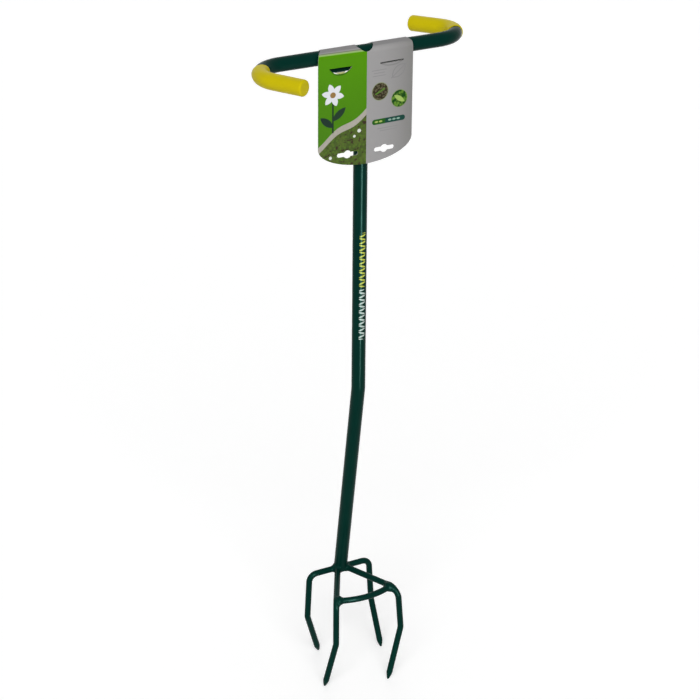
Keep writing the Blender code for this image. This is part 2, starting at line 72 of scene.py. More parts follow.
CARD_UNDER, FLAP_EDGE = radians(158), radians(80)    # the tabs leave it here, and go on alone from there
TAB_HALF = 0.0230            # a little wider than the solid's, to fill the corner of the open slit
TAB_ROUND, TAB_STOP, TAB_TONGUE, TAB_OUT = 0.003, 0.0012, 0.0086, 0.0036
NOTCH_V, NOTCH_HALF, NOTCH_FRONT, NOTCH_BACK = -0.002, 0.0148, 0.0197, 0.009
EURO_X, EURO_Z, EURO_W, EURO_H, EURO_BUMP_R = 0.0315, 0.9534, 0.035, 0.0068, 0.0064
# Half-moon slits: place across, height of the straight edge, width and opening
OPEN_SLIT, SHUT_SLIT = (-0.0434, 1.0943, 0.0374, 0.0098), (0.0436, 1.0924, 0.0400, 0.0014)
SLIT_FULL = 2.6
CREASE_V, CREASE_LEN = 0.002, 0.012    # the crease of the panel comes in over this stretch

# Ends and edges
TUBE_END = 0.0023            # wall between the bar's end and the tip of its grip
GRIP_FROM, GRIP_LIP = radians(25), 0.0009    # start of the sleeve in the bend, rounding at the dip line
POST_DROP, FOOT_PAST = 0.002, 0.0012    # the shaft's ends: below the bar's axis and past the hub
POINT_CURVE, POINT_EDGE = 1.35, 0.00035    # ground points: how hollow, and rounding of the dressed tip

# Fineness of the visible meshes
ARC_STEP, SHAFT_STEP = radians(2.5), radians(0.8)
TUBE_SIDES, ROD_SIDES = 72, 40
BAR_GAP, SHAFT_GAP, ROD_GAP = 0.006, 0.01, 0.004    # longest steps
PANEL_GAP, LOW_GAP, TAB_GAP = 0.0015, 0.004, 0.002
CARD_COLUMNS, TONGUE_SPARE = 20, 0.006    # the blank goes on this far past the panel for the tongue
TINY = 0.0001                # step that finds a slope or a meeting point

# Welds
WELD_STEP = 0.00045          # grid of the weld skins
SKIN_SINK = 0.00012          # the welds' own rods run this far under the real ones
SKIN_TRIM = 0.0004           # a skin ends this far inside its reach
SPARE_LINE = 0.01            # a bar is followed this far past the reach
GAP_LIMIT = 0.02             # distances beyond this don't count in the blend
RIPPLE = 0.0004
RIPPLE_SLANT = 900           # phase of the ripples per metre along the weld's axis
RIPPLE_SWAY, SWAY_PACE, SWAY_START = 1.3, 0.37, 1.0    # they crowd and part, as if laid by hand
RIPPLE_FULL, RIPPLE_MEAN, RIPPLE_SWING = 2.2, 0.55, 0.45    # and show in the hollows alone
HUB_WELD, BAR_WELD = (0.026, 0.0021, 26), (0.024, 0.0017, 22)    # reach, softness, ripples
REST_WELDS = {"left": (0.020, 0.0013, 14), "right": (0.020, 0.0026, 14)}
REST_FLARES = {"left": 0.0034, "right": 0.0024}
REST_FLARE_AT, REST_FLARE_LEN, REST_BACK = 0.0042, 0.0042, 0.001    # collar at the foot rest's ends
FOOT_PART, BORE_PART, BAR_PART = 0.06, 0.02, 0.05    # stretches of tube that a weld takes in
WELD_PROUD, WELD_SLOPE, WRAP_DROP = 0.0002, 0.7, 0.0022    # top of the handlebar's weld, under the wrap

# Finishes: a noise is its scale, detail and roughness, and inks are linear
COAT_FILM, COAT_PEEL, COAT_GRAIN = (35, 3), (420, 2, 0.4), (2600, 2, 0.6)
COAT_THIN, COAT_THICK = (0.0005, 0.0190, 0.0138), (0.0009, 0.0265, 0.0192)
COAT_ROUGH, COAT_GLOSS, COAT_TINT = 0.18, 0.052, (0.4, 1.0, 0.85, 1.0)
# Leaves down the shaft: offset, half width, pitch, slimness and slant, then heights and ink of each row
MARK_X, MARK_HALF, MARK_PITCH, MARK_DUTY, MARK_TILT = -0.0002, 0.0054, 0.0058, 0.075, 0.28
MARKS = (((0.6295, 0.7168), (0.50, 0.60, 0.56)), ((0.7212, 0.8140), (0.52, 0.58, 0.09)))
VINYL_CLOUD, VINYL_FLOW, VINYL_GRAIN = (22, 2, 0.5), (160, 3, 0.55), (1900, 2, 0.6)
VINYL_LOW, VINYL_HIGH = (0.53, 0.455, 0.003), (0.59, 0.475, 0.005)
VINYL_ROUGH, VINYL_GLOSS, VINYL_TINT = 0.38, 0.11, (1.0, 0.95, 0.15, 1.0)
CARD_FIBRE, CARD_TONE, CARD_PULP = (900, 4, 0.6), (14, 1), (1500, 5, 0.7)
CARD_ROUGH, CARD_GLOSS = 0.42, 0.02
FINE, CRISP, LOOSE = 0.0003, 0.0004, 0.0008    # widths of an ink's edge

# Print on the card: places are x across and v down from the fold
# The right half's grey goes from the middle ink at the crease to a darker ink at its right edge, which is
# painted shade; the top ink is the strip over the bar
PAPER_MID, PAPER_EDGE_SHADE, PAPER_TOP = (0.345, 0.338, 0.340), (0.235, 0.232, 0.225), (0.240, 0.236, 0.238)
PULP_LOW, PULP_HIGH = (0.50, 0.49, 0.46), (0.60, 0.59, 0.56)
# Painted shade: the tabs' inner face under the bar is coloured near-black green; the tongue that pokes out
# below the panel is pale.
TAB_PAINTED_SHADE, TONGUE_INK, TAB_FROM_V, TONGUE_PAST = (0.004, 0.030, 0.022), (0.52, 0.54, 0.20), -0.020, 0.0012
RIDGE_V, RIDGE_SLOPE = 0.0159, 0.008           # top edge of the garden
# Lines along it, a dark olive one above and a pale one on the fold, the pale one a score line lightened as
# painted highlight: how far above it, half width and ink
RIDGE_LINES_AND_HIGHLIGHT = ((0.0021, 0.0009, (0.17, 0.21, 0.10)), (0.0, 0.0010, (0.30, 0.47, 0.14)))
LAWN_TOP, LAWN_LOW = (0.083, 0.285, 0.0015), (0.058, 0.195, 0.004)
LAWN_V, LAWN_LEN = 0.03, 0.12                  # the lawn darkens from here over this length
PATH_SLOPE, PATH_WAVES, PATH_SWING = 0.62, 95.0, 0.0035
PATH_V, PATH_HALF, BED_V = 0.1125, 0.0052, 0.1175
PATH_GRIT, PATH_LOW, PATH_HIGH = (260, 3, 0.6), (0.33, 0.31, 0.26), (0.46, 0.44, 0.38)
BED_CLUMPS, BED_SHADE, BED_EARTH = 210, (85, 3, 0.6), (150, 2, 0.5)
BED_DARK, BED_LIGHT = (0.012, 0.040, 0.010), (0.125, 0.175, 0.030)
BED_LEAF, EARTH_INK = (0.085, 0.150, 0.020), (0.045, 0.032, 0.016)
# White dots in the bed: middle and radius
BLOSSOMS = ((-0.012, 0.142, 0.0030), (-0.020, 0.150, 0.0022), (-0.060, 0.180, 0.0026))
BLOSSOM_INK, PETAL_INK = (0.70, 0.74, 0.70), (0.74, 0.76, 0.80)
STEM_INK, HEART_INK = (0.012, 0.030, 0.016), (0.30, 0.18, 0.06)
FLOWER_X, FLOWER_V, PETALS, PETAL_TURN, PETAL_OUT = -0.0560, 0.0790, 6, 12, 0.0092
PETAL_LEN, PETAL_WIDTH, HEART_R = 0.019, 0.0098, 0.0046
STEM_V, STEM_LEN, STEM_WIDTH = 0.030, 0.062, 0.0026
# Leaves on the stem: offset from the flower, angle, length, width and ink
STEM_LEAVES = ((-0.010, 0.043, 40, 0.028, 0.011, (0.012, 0.034, 0.022)),
               (0.010, 0.032, -42, 0.030, 0.011, (0.016, 0.042, 0.022)))
PALE_LEAF = (0.0560, 0.0560, -38), (0.030, 0.0170), (0.0266, 0.0140)    # place, outer and inner size
PALE_VEIN, PALE_INK, RULE_INK = (0.0340, 0.0014), (0.245, 0.240, 0.245), (0.270, 0.265, 0.270)
# Rules above the roundels and below the bar: middle, length and width
RULES = ((0.0215, 0.0500, 0.026, 0.0012), (0.0215, 0.0545, 0.020, 0.0012), (0.0215, 0.0590, 0.023, 0.0012),
         (0.0390, 0.1445, 0.040, 0.0011), (0.0390, 0.1485, 0.031, 0.0011))
# Roundels: middle, dark and light ink, scale of their cells
ROUNDELS = ((0.0235, 0.0845, (0.030, 0.024, 0.012), (0.120, 0.105, 0.060), 330),
            (0.0575, 0.1010, (0.010, 0.060, 0.008), (0.120, 0.260, 0.030), 190))
ROUNDEL_R, ROUNDEL_RIM, RIM_INK = 0.0136, 0.0146, (0.26, 0.30, 0.17)
GREEN_LEAF, GREEN_LEAF_INK = (0.0575, 0.1010, 35, 0.022, 0.0075), (0.35, 0.50, 0.12)
SPROUT, SPROUT_INK = (0.0235, 0.0845, -25, 0.019, 0.0024), (0.10, 0.22, 0.03)
BAND, BAND_SPLIT = (0.0390, 0.1330, 0, 0.0580, 0.0085), 0.0330
BAND_LEFT, BAND_RIGHT, BAND_LEAF = (0.020, 0.105, 0.012), (0.012, 0.060, 0.045), (0.0066, 0.0030)
BAND_LEAVES = (((0.0175, 0.0250), (0.36, 0.48, 0.12)), ((0.0410, 0.0485, 0.0560), (0.26, 0.42, 0.34)))
# Crease marks of the half moons, darkened as painted shadow below the pushed-in flap and below the shut
# fold: slit, depth, strength and ink
CREASES_AND_SHADOWS = ((OPEN_SLIT, OPEN_SLIT[3] + 0.0016, 0.65, (0.02, 0.07, 0.003)),
           (SHUT_SLIT, 0.0059, 0.45, (0.15, 0.15, 0.15)))

# Studio
CAM_AZ, CAM_EL, CAM_ROLL = radians(-26.811), radians(25.699), radians(0.432)
CAM_DISTANCE, CAM_TARGET, CAM_LENS = 3.849416, Vector((-0.01312, 0, 0.609167)), 123.545
CAM_SENSOR, CAM_FAR = 36, 100
WORLD_LIGHT, FLOOR_GLOW = 0.30, 0.361
FLOOR_HALF, FLOOR_COLOUR, FLOOR_ROUGH = 30, (0.80, 0.80, 0.80, 1), 0.9
SUN_WIDTH = radians(50)
KEY_FROM, KEY_STRENGTH = (-0.36, -0.72, 0.593), 2.36
FILL_FROM, FILL_STRENGTH = (0.35, 0.92, 0.17), 1.0
STRIP_FROM, STRIP_AIM, STRIP_SIZE, STRIP_WATTS = (0.02, -1.1, 0.40), (0, 0, 0.40), (0.13, 0.68), 31

# The shaft's foot and bend, and its way down between them
HUB = Vector((HUB_X, HUB_Y, ARM_Z))
BEND = Vector((SHAFT_X, 0, SHAFT_BEND_Z))
DOWN = (HUB - BEND).normalized()


# Mesh helpers
def new_piece(name, mesh, mat, body, node, sharp=40):
    """Links a finished mesh that stands for a node, and makes it ride on its body."""
    mesh.name = name
    mesh.materials.clear()
    mesh.materials.append(mat)
    mesh.shade_smooth()
    mesh.set_sharp_from_angle(angle=radians(sharp))
    obj = bpy.data.objects.new(name, mesh)
    bpy.context.scene.collection.objects.link(obj)
    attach(obj, body)
    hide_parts(node)
    return obj


def mesh_from(bm):
    """Closes a bmesh into a mesh whose faces look outwards."""
    bmesh.ops.recalc_face_normals(bm, faces=bm.faces)
    if bm.calc_volume(signed=True) < 0:
        bmesh.ops.reverse_faces(bm, faces=bm.faces)
    mesh = bpy.data.meshes.new("piece")
    bm.to_mesh(mesh)
    bm.free()
    return mesh


def quarter(n):
    """Angles of a quarter turn in n steps."""
    return [pi / 2 * k / n for k in range(n + 1)]


def rounded_path(corners, radii, step=ARC_STEP):
    """Centre line through corners, each inner corner rounded with its own radius."""
    pts = [Vector(corners[0])]
    for before, at, after, r in zip(corners, corners[1:], corners[2:], radii):
        at = Vector(at)
        d_in = (at - Vector(before)).normalized()
        d_out = (Vector(after) - at).normalized()
        turn = d_in.angle(d_out)
        start = at - d_in * r * tan(turn / 2)
        side = (d_out - d_in * cos(turn)).normalized()
        steps = max(4, round(turn / step))
        for i in range(steps + 1):
            t = turn * i / steps
            pts.append(start + d_in * r * sin(t) + side * r * (1 - cos(t)))
    pts.append(Vector(corners[-1]))
    return pts


def spaced(points, gap):
    """The same line with extra points, so that none of its steps is longer than the gap."""
    out = [points[0]]
    for a, b in zip(points, points[1:]):
        n = max(1, round((b - a).length / gap))
        out += [a.lerp(b, k / n) for k in range(1, n + 1)]
    return out


def sweep(points, radii, sides):
    """Closed round bar along a line, its rings turned as little as they can be."""
    bm = bmesh.new()
    tangents = []
    for i in range(len(points)):
        ahead = points[min(i + 1, len(points) - 1)] - points[max(i - 1, 0)]
        tangents.append(ahead.normalized())
    normal = tangents[0].orthogonal().normalized()
    rings = []
    for p, t, r in zip(points, tangents, radii):
        normal = (normal - t * normal.dot(t)).normalized()
        other = t.cross(normal)
        rings.append([bm.verts.new(p + (normal * cos(a) + other * sin(a)) * r)
                      for a in (2 * pi * k / sides for k in range(sides))])
    for a, b in zip(rings, rings[1:]):
        for k in range(sides):
            bm.faces.new((a[k], a[(k + 1) % sides], b[(k + 1) % sides], b[k]))
    bm.faces.new(reversed(rings[0]))
    bm.faces.new(rings[-1])
    return bm


def slice_off(bm, point, normal, round_by):
    """Cuts away what lies beyond a plane, closes the cut and rounds its rim."""
    geom = bm.verts[:] + bm.edges[:] + bm.faces[:]
    made = bmesh.ops.bisect_plane(bm, geom=geom, plane_co=point, plane_no=normal, clear_outer=True)
    rim = [e for e in made["geom_cut"] if isinstance(e, bmesh.types.BMEdge)]
    bmesh.ops.edgeloop_fill(bm, edges=rim)
    bmesh.ops.bevel(bm, geom=rim, offset=round_by, segments=3, profile=0.5, affect="EDGES",
                    clamp_overlap=True)


# Welds: a smooth union of the bars that meet, as a sampled distance, turned into a closed skin
def to_line(q, points):
    """Distance of each sample from a line of straight steps."""
    best = np.full(len(q), np.inf)
    for a, b in zip(points, points[1:]):
        a, b = np.array(a), np.array(b)
        along = b - a
        t = np.clip((q - a) @ along / (along @ along), 0, 1)
        best = np.minimum(best, np.linalg.norm(q - a - t[:, None] * along, axis=1))
    return best


def near(points, centre, reach):
    """The stretch of a line that passes near a point."""
    spot = np.array([centre])
    keep = [i for i, step in enumerate(zip(points, points[1:])) if to_line(spot, step)[0] < reach]
    return points[keep[0]:keep[-1] + 2]


def surface_net(field, origin, step):
    """Closed quads round the region where a sampled distance is below zero."""
    cells = tuple(n - 1 for n in field.shape)
    total = np.zeros(cells + (3,))
    count = np.zeros(cells)
    crossings = []
    for axis in range(3):
        low = [slice(None)] * 3
        high = [slice(None)] * 3
        low[axis], high[axis] = slice(None, -1), slice(1, None)
        a, b = field[tuple(low)], field[tuple(high)]
        at = np.argwhere((a < 0) != (b < 0))
        va, vb = a[tuple(at.T)], b[tuple(at.T)]
        spot = at.astype(float)
        spot[:, axis] += va / (va - vb)
        u, v = [k for k in range(3) if k != axis]
        around = []
        for du, dv in ((0, 0), (1, 0), (1, 1), (0, 1)):
            cell = at.copy()
            cell[:, u] -= du
            cell[:, v] -= dv
            np.add.at(total, tuple(cell.T), spot)
            np.add.at(count, tuple(cell.T), 1)
            around.append(cell)
        flip = (va < 0) if axis != 1 else (va >= 0)
        crossings.append((around, flip))
    number = np.full(cells, -1)
    used = np.argwhere(count > 0)
    number[tuple(used.T)] = np.arange(len(used))
    verts = total[tuple(used.T)] / count[tuple(used.T)][:, None] * step + np.array(origin)
    faces = []
    for around, flip in crossings:
        quad = np.stack([number[tuple(c.T)] for c in around], axis=1)
        quad[flip] = quad[flip][:, ::-1]
        faces += quad.tolist()
    mesh = bpy.data.meshes.new("net")
    mesh.from_pydata(verts.tolist(), [], faces)
    return mesh


class Bar:
    """A bar that a weld joins: a line with a radius, perhaps cut flat or flared near one end."""

    def __init__(self, points, radius, end=None, way=None, flare=0.0, flare_at=0.0, flare_len=1.0):
        self.points, self.radius = points, radius
        self.end, self.way = end, way
        self.flare, self.flare_at, self.flare_len = flare, flare_at, flare_len

    def gap(self, grid, centre, reach):
        """Distance of each sample from the bar's surface, less a little so that it stays inside."""
        radius = self.radius - SKIN_SINK
        if self.end is None:
            return to_line(grid, near(self.points, centre, reach)) - radius
        back = (grid - np.array(self.end)) @ np.array(self.way)
        radius = radius + self.flare * np.exp(-((-back - self.flare_at) / self.flare_len) ** 2)
        return np.maximum(to_line(grid, near(self.points, centre, reach)) - radius, back)


def weld_skin(centre, weld, bars, axis, bore=None):
    """Filleted skin where bars meet, with the ripples of a hand-laid bead in its hollows."""
    reach, soft, turns = weld
    n = int(2 * reach / WELD_STEP) + 3
    origin = centre - Vector((1, 1, 1)) * (n - 1) / 2 * WELD_STEP
    line = np.arange(n) * WELD_STEP
    grid = np.stack(np.meshgrid(line, line, line, indexing="ij"), -1).reshape(-1, 3) + np.array(origin)
    gaps = [bar.gap(grid, centre, reach + SPARE_LINE) for bar in bars]
    if bore:
        points, radius = bore
        gaps[0] = np.maximum(gaps[0], radius - to_line(grid, points))
    shares = np.exp(-np.clip(np.array(gaps), -GAP_LIMIT, GAP_LIMIT) / soft)
    whole = shares.sum(0)
    field = -soft * np.log(whole)
    blend = 1 - shares.max(0) / whole
    local = (grid - np.array(centre)) @ np.array(frame_of(axis))
    phase = turns * np.arctan2(local[:, 1], local[:, 0]) + RIPPLE_SLANT * local[:, 2]
    wobble = np.sin(phase + RIPPLE_SWAY * np.sin(phase * SWAY_PACE + SWAY_START))
    field -= RIPPLE * np.clip(blend * RIPPLE_FULL, 0, 1) * (RIPPLE_MEAN + RIPPLE_SWING * wobble)
    field = np.maximum(field, np.linalg.norm(grid - np.array(centre), axis=1) - reach + SKIN_TRIM)
    return surface_net(field.reshape(n, n, n), origin, WELD_STEP)


def frame_of(axis):
    """Rotation whose Z column lies along an axis."""
    return Vector(axis).to_track_quat("Z", "Y").to_matrix()


# Centre lines
def bar_end(sign, leg, first=0.0):
    """Centre line of one end of the bar, from its middle outwards: bend, then straight return."""
    steps = round(BAR_TURN / ARC_STEP)
    pts = []
    for i in range(steps + 1):
        t = BAR_TURN * i / steps
        if t >= first:
            pts.append((-BAR_HALF - BAR_BEND_R * sin(t), -BAR_BEND_R * (1 - cos(t))))
    heading = (-cos(BAR_TURN), -sin(BAR_TURN))
    ex, ey = pts[-1]
    pts += [(ex + heading[0] * u, ey + heading[1] * u) for u in leg]
    rise, run = sin(BAR_ROLL[sign]), cos(BAR_ROLL[sign])
    return [Vector((sign * x, sign * y * run, sign * y * rise + BAR_Z)) for x, y in pts]


def leg_corners(name):
    """Corner, knee and tip of one tine."""
    corner, lean, knee_z, sweep = LEGS[name]
    corner = Vector((SHAFT_X + corner[0], corner[1], ARM_Z))
    knee = Vector((corner.x + lean[0], corner.y + lean[1], knee_z))
    return [corner, knee, Vector((knee.x + sweep[0], knee.y + sweep[1], -POINT_FLAT))]


def rod_lines():
    """Centre lines of the three tine rods."""
    rear = list(reversed(leg_corners("rear_left"))) + leg_corners("rear_right")
    rear = rounded_path(rear, [KNEE_R, CORNER_R, CORNER_R, KNEE_R])
    fronts = {}
    for side, (x, y, corner_r) in FRONT_ROOTS.items():
        root = Vector((SHAFT_X + x, y, ARM_Z))
        fronts[side] = rounded_path([root] + leg_corners("front_" + side), [corner_r, KNEE_R])
    return rear, fronts


def rest_line():
    """Bowed foot rest: a plain arc between the two front rods, just short of their corners."""
    (ax, ay), (bx, by), (cx, cy) = REST_LEFT, REST_BOW, REST_RIGHT
    a2, b2, c2 = ax * ax + ay * ay, bx * bx + by * by, cx * cx + cy * cy
    twice = 2 * (ax * (by - cy) + bx * (cy - ay) + cx * (ay - by))
    x = (a2 * (by - cy) + b2 * (cy - ay) + c2 * (ay - by)) / twice
    y = (a2 * (cx - bx) + b2 * (ax - cx) + c2 * (bx - ax)) / twice
    r = hypot(ax - x, ay - y)
    first, last = atan2(ax - x, y - ay), atan2(cx - x, y - cy)
    turns = [first + (last - first) * i / 36 for i in range(37)]
    return [Vector((SHAFT_X + x + r * sin(t), y - r * cos(t), ARM_Z - REST_DROP)) for t in turns]


# Shader nodes, written as arithmetic
class Num:
    """A number in a node tree."""

    def __init__(self, tree, socket):
        self.tree, self.socket = tree, socket

    def op(self, kind, *others, clamp=False):
        """Result of one Math node."""
        node = self.tree.nodes.new("ShaderNodeMath")
        node.operation = kind
        node.use_clamp = clamp
        for slot, value in zip(node.inputs, (self, *others)):
            put(self.tree, slot, value)
        return Num(self.tree, node.outputs[0])

    def __add__(self, other):
        return self.op("ADD", other)

    def __sub__(self, other):
        return self.op("SUBTRACT", other)

    def __mul__(self, other):
        return self.op("MULTIPLY", other)

    def __truediv__(self, other):
        return self.op("DIVIDE", other)

    def abs(self):
        return self.op("ABSOLUTE")

    def min(self, other):
        return self.op("MINIMUM", other)

    def max(self, other):
        return self.op("MAXIMUM", other)

    def sin(self):
        return self.op("SINE")

    def below(self, edge, soft):
        """1 where the number is below the edge, 0 above it, with a soft step of that width."""
        return ((self - edge) * (-1.0 / soft)).op("ADD", 0.5, clamp=True)

    def above(self, edge, soft):
        """The other way round."""
        return self.below(edge, soft).op("SUBTRACT", 1.0).abs()


def put(tree, socket, value):
    """Links a number or a socket into a socket, or sets a plain value."""
    if isinstance(value, Num):
        value = value.socket
    if isinstance(value, bpy.types.NodeSocket):
        tree.links.new(value, socket)
    else:
        socket.default_value = value


class Paint:
    """A Principled material that is built up in layers."""

    def __init__(self, name):
        self.mat = bpy.data.materials.new(name)
        self.mat.use_nodes = True
        self.tree = self.mat.node_tree
        self.shader = self.tree.nodes["Principled BSDF"]
        coords = self.tree.nodes.new("ShaderNodeTexCoord")
        self.place = coords.outputs["Object"]
        self.bump_in = None

    def split(self, socket):
        """The three parts of a vector."""
        node = self.tree.nodes.new("ShaderNodeSeparateXYZ")
        self.tree.links.new(socket, node.inputs[0])
        return [Num(self.tree, out) for out in node.outputs]

    def noise(self, scale, detail, rough=0.5, place=None, warp=0.0):
        """Cloudy pattern, in the object's own space where no other place is given."""
        node = self.tree.nodes.new("ShaderNodeTexNoise")
        node.inputs["Scale"].default_value = scale
        node.inputs["Detail"].default_value = detail
        node.inputs["Roughness"].default_value = rough
        node.inputs["Distortion"].default_value = warp
        self.tree.links.new(place or self.place, node.inputs["Vector"])
        return Num(self.tree, node.outputs["Fac"])

    def cells(self, scale, place):
        """Distance from the middle of the nearest cell."""
        node = self.tree.nodes.new("ShaderNodeTexVoronoi")
        node.inputs["Scale"].default_value = scale
        self.tree.links.new(place, node.inputs["Vector"])
        return Num(self.tree, node.outputs["Distance"])

    def mix(self, share, low, high):
        """Colour from low, where the share is 0, to high, where it is 1."""
        node = self.tree.nodes.new("ShaderNodeMix")
        node.data_type = "RGBA"
        put(self.tree, node.inputs["Factor"], share)
        for socket, value in ((node.inputs[6], low), (node.inputs[7], high)):
            put(self.tree, socket, value if isinstance(value, bpy.types.NodeSocket) else (*value, 1.0))
        return node.outputs[2]

    def bump(self, height, strength, distance):
        """Adds a layer of relief on the layers before it."""
        node = self.tree.nodes.new("ShaderNodeBump")
        node.inputs["Strength"].default_value = strength
        node.inputs["Distance"].default_value = distance
        put(self.tree, node.inputs["Height"], height)
        if self.bump_in:
            self.tree.links.new(self.bump_in, node.inputs["Normal"])
        self.bump_in = node.outputs["Normal"]

    def set(self, **values):
        """Sets the shader's sockets, and gives the material."""
        for name, value in values.items():
            put(self.tree, self.shader.inputs[name.replace("_", " ")], value)
        if self.bump_in:
            self.tree.links.new(self.bump_in, self.shader.inputs["Normal"])
        return self.mat


def powder_coat(name, marked=False):
    """Dark green powder coat: orange peel, fine grain and a slightly uneven film."""
    paint = Paint(name)
    film = paint.noise(*COAT_FILM)
    peel = paint.noise(*COAT_PEEL)
    grain = paint.noise(*COAT_GRAIN)
    colour = paint.mix(film, COAT_THIN, COAT_THICK)
    rough = film * 0.05 + peel * 0.06 + COAT_ROUGH
    if marked:                             # a zigzag of small leaves down the user's side
        x, y, z = paint.split(paint.place)
        out = (x - (SHAFT_X + MARK_X)) / MARK_HALF
        along = z / MARK_PITCH
        odd = (along * 0.5).op("FRACT").below(0.5, 0.001)
        u = along.op("FRACT") - 0.5
        tilt = u + out * (odd * (2 * MARK_TILT) - MARK_TILT)
        leaf = (tilt * tilt / MARK_DUTY + out * out).below(0.92, 0.16) * y.below(0.0, 0.0002)
        for (low, high), ink in MARKS:
            span = (z - (low + high) / 2).abs().below((high - low) / 2, FINE)
            colour = paint.mix(leaf * span, colour, ink)
    paint.bump(peel, 0.08, 0.0004)
    paint.bump(grain, 0.05, 0.0001)
    return paint.set(Base_Color=colour, Roughness=rough, Specular_IOR_Level=COAT_GLOSS,
                     Specular_Tint=COAT_TINT)


def vinyl(name):
    """Yellow dipped vinyl: satin skin with faint flow marks and a warmer tone where it is thick."""
    paint = Paint(name)
    cloud = paint.noise(*VINYL_CLOUD)
    flow = paint.noise(*VINYL_FLOW, warp=0.4)
    grain = paint.noise(*VINYL_GRAIN)
    colour = paint.mix(cloud, VINYL_LOW, VINYL_HIGH)
    paint.bump(flow, 0.12, 0.0006)
    paint.bump(grain, 0.06, 0.0001)
    rough = flow * 0.10 + VINYL_ROUGH
    return paint.set(Base_Color=colour, Roughness=rough, Specular_IOR_Level=VINYL_GLOSS,
                     Specular_Tint=VINYL_TINT)


class Print:
    """The two sides of the card as flat artwork: x across, v down from the fold, w through the board."""

    def __init__(self, paint):
        self.paint = paint
        flat = paint.tree.nodes.new("ShaderNodeAttribute")
        flat.attribute_name = "blank"
        self.flat = flat.outputs["Vector"]
        self.x, self.v, self.w = paint.split(self.flat)
        self.colour = None

    def lay(self, share, ink):
        """Prints an ink, plain or patterned, where the share is 1."""
        self.colour = self.paint.mix(share, self.colour, ink)

    def turned(self, cx, cv, angle):
        """Distances along and across an axis through a point."""
        dx, dv = self.x - cx, self.v - cv
        c, s = cos(radians(angle)), sin(radians(angle))
        return dx * c + dv * s, dv * c - dx * s

    def disc(self, cx, cv, radius):
        """Round spot."""
        dx, dv = self.x - cx, self.v - cv
        return (dx * dx + dv * dv).op("SQRT").below(radius, CRISP)

    def leaf(self, cx, cv, angle, length, width, soft=CRISP):
        """Pointed oval: what two equal discs share."""
        off = (length * length - width * width) / (4 * width)
        along, across = self.turned(cx, cv, angle)
        far = across.abs() + off
        return (along * along + far * far).op("SQRT").below(off + width / 2, soft)

    def pill(self, cx, cv, angle, length, width, soft=CRISP):
        """Stroke with round ends."""
        along, across = self.turned(cx, cv, angle)
        past = (along.abs() - (length - width) / 2).max(0.0)
        return (past * past + across * across).op("SQRT").below(width / 2, soft)


def board(name):
    """Printed card: a plain grey right half with small motifs, a garden scene in greens on the left."""
    paint = Paint(name)
    art = Print(paint)
    x, v, w = art.x, art.v, art.w
    fibre = paint.noise(*CARD_FIBRE)
    tone = paint.noise(*CARD_TONE)
    # the grey darkens towards the right edge as painted shade
    painted_edge_shade = (x / CARD_HALF).max(0.0)
    art.colour = paint.mix(painted_edge_shade * painted_edge_shade + fibre * 0.12, PAPER_MID, PAPER_EDGE_SHADE)
    ridge = x * RIDGE_SLOPE + RIDGE_V
    art.lay(v.below(SHOULDER_V, 0.003) * 0.85, PAPER_TOP)
    motifs(art)
    art.lay(x.below(0.0, FINE) * (v - ridge).above(0.0, FINE), garden(art, tone))
    # the second, pale line is a painted highlight along the fold
    for rise, half, ink in RIDGE_LINES_AND_HIGHLIGHT:
        art.lay((v - ridge + rise).abs().below(half, LOOSE) * x.below(0.0, FINE) * 0.85, ink)
    slit_shade(art)
    inside = w.below(CARD_T * 0.92, CARD_T * 0.1)
    art.lay(inside, paint.mix(paint.noise(*CARD_PULP), PULP_LOW, PULP_HIGH))
    # painted shade on the tabs' inner face, where it runs in the dark under the bar
    tab = v.below(TAB_FROM_V, 0.001) * (v + REACH).above(0.0, 0.0005)
    art.lay(inside * tab, TAB_PAINTED_SHADE)
    art.lay(inside * (v + REACH + TONGUE_PAST).below(0.0, 0.0006), TONGUE_INK)
    paint.bump(fibre, 0.05, 0.0001)
    return paint.set(Base_Color=art.colour, Roughness=fibre * 0.08 + CARD_ROUGH,
                     Specular_IOR_Level=CARD_GLOSS)


def garden(art, tone):
    """Left half: bright lawn, a pale winding path, a bed of leaves below it and one white flower."""
    paint, x, v = art.paint, art.x, art.v
    whole = art.colour
    low = ((v - LAWN_V) / LAWN_LEN).max(0.0).min(1.0)
    art.colour = paint.mix(low * 0.8 + tone * 0.4 - 0.1, LAWN_TOP, LAWN_LOW)
    edge = v + x * PATH_SLOPE + (x * PATH_WAVES).sin() * PATH_SWING
    bed = (edge - BED_V).above(0.0, LOOSE)
    clumps = paint.cells(BED_CLUMPS, art.flat)
    shade = paint.mix(paint.noise(*BED_SHADE, art.flat), BED_DARK, BED_LIGHT)
    art.lay(bed, paint.mix(clumps.below(0.42, 0.25), shade, BED_LEAF))
    art.lay(bed * paint.noise(*BED_EARTH, art.flat).below(0.38, 0.05), EARTH_INK)
    path = (edge - PATH_V).abs().below(PATH_HALF, 0.0006)
    art.lay(path, paint.mix(paint.noise(*PATH_GRIT, art.flat), PATH_LOW, PATH_HIGH))
    for cx, cv, size in BLOSSOMS:
        art.lay(art.disc(cx, cv, size), BLOSSOM_INK)
    art.lay(art.pill(FLOWER_X, FLOWER_V + STEM_V, 90, STEM_LEN, STEM_WIDTH), STEM_INK)
    for dx, dv, angle, length, width, ink in STEM_LEAVES:
        art.lay(art.leaf(FLOWER_X + dx, FLOWER_V + dv, angle, length, width), ink)
    for k in range(PETALS):
        angle = 360 / PETALS * k + PETAL_TURN
        cx, cv = FLOWER_X + PETAL_OUT * cos(radians(angle)), FLOWER_V + PETAL_OUT * sin(radians(angle))
        art.lay(art.leaf(cx, cv, angle, PETAL_LEN, PETAL_WIDTH), PETAL_INK)
    art.lay(art.disc(FLOWER_X, FLOWER_V, HEART_R), HEART_INK)
    done, art.colour = art.colour, whole
    return done


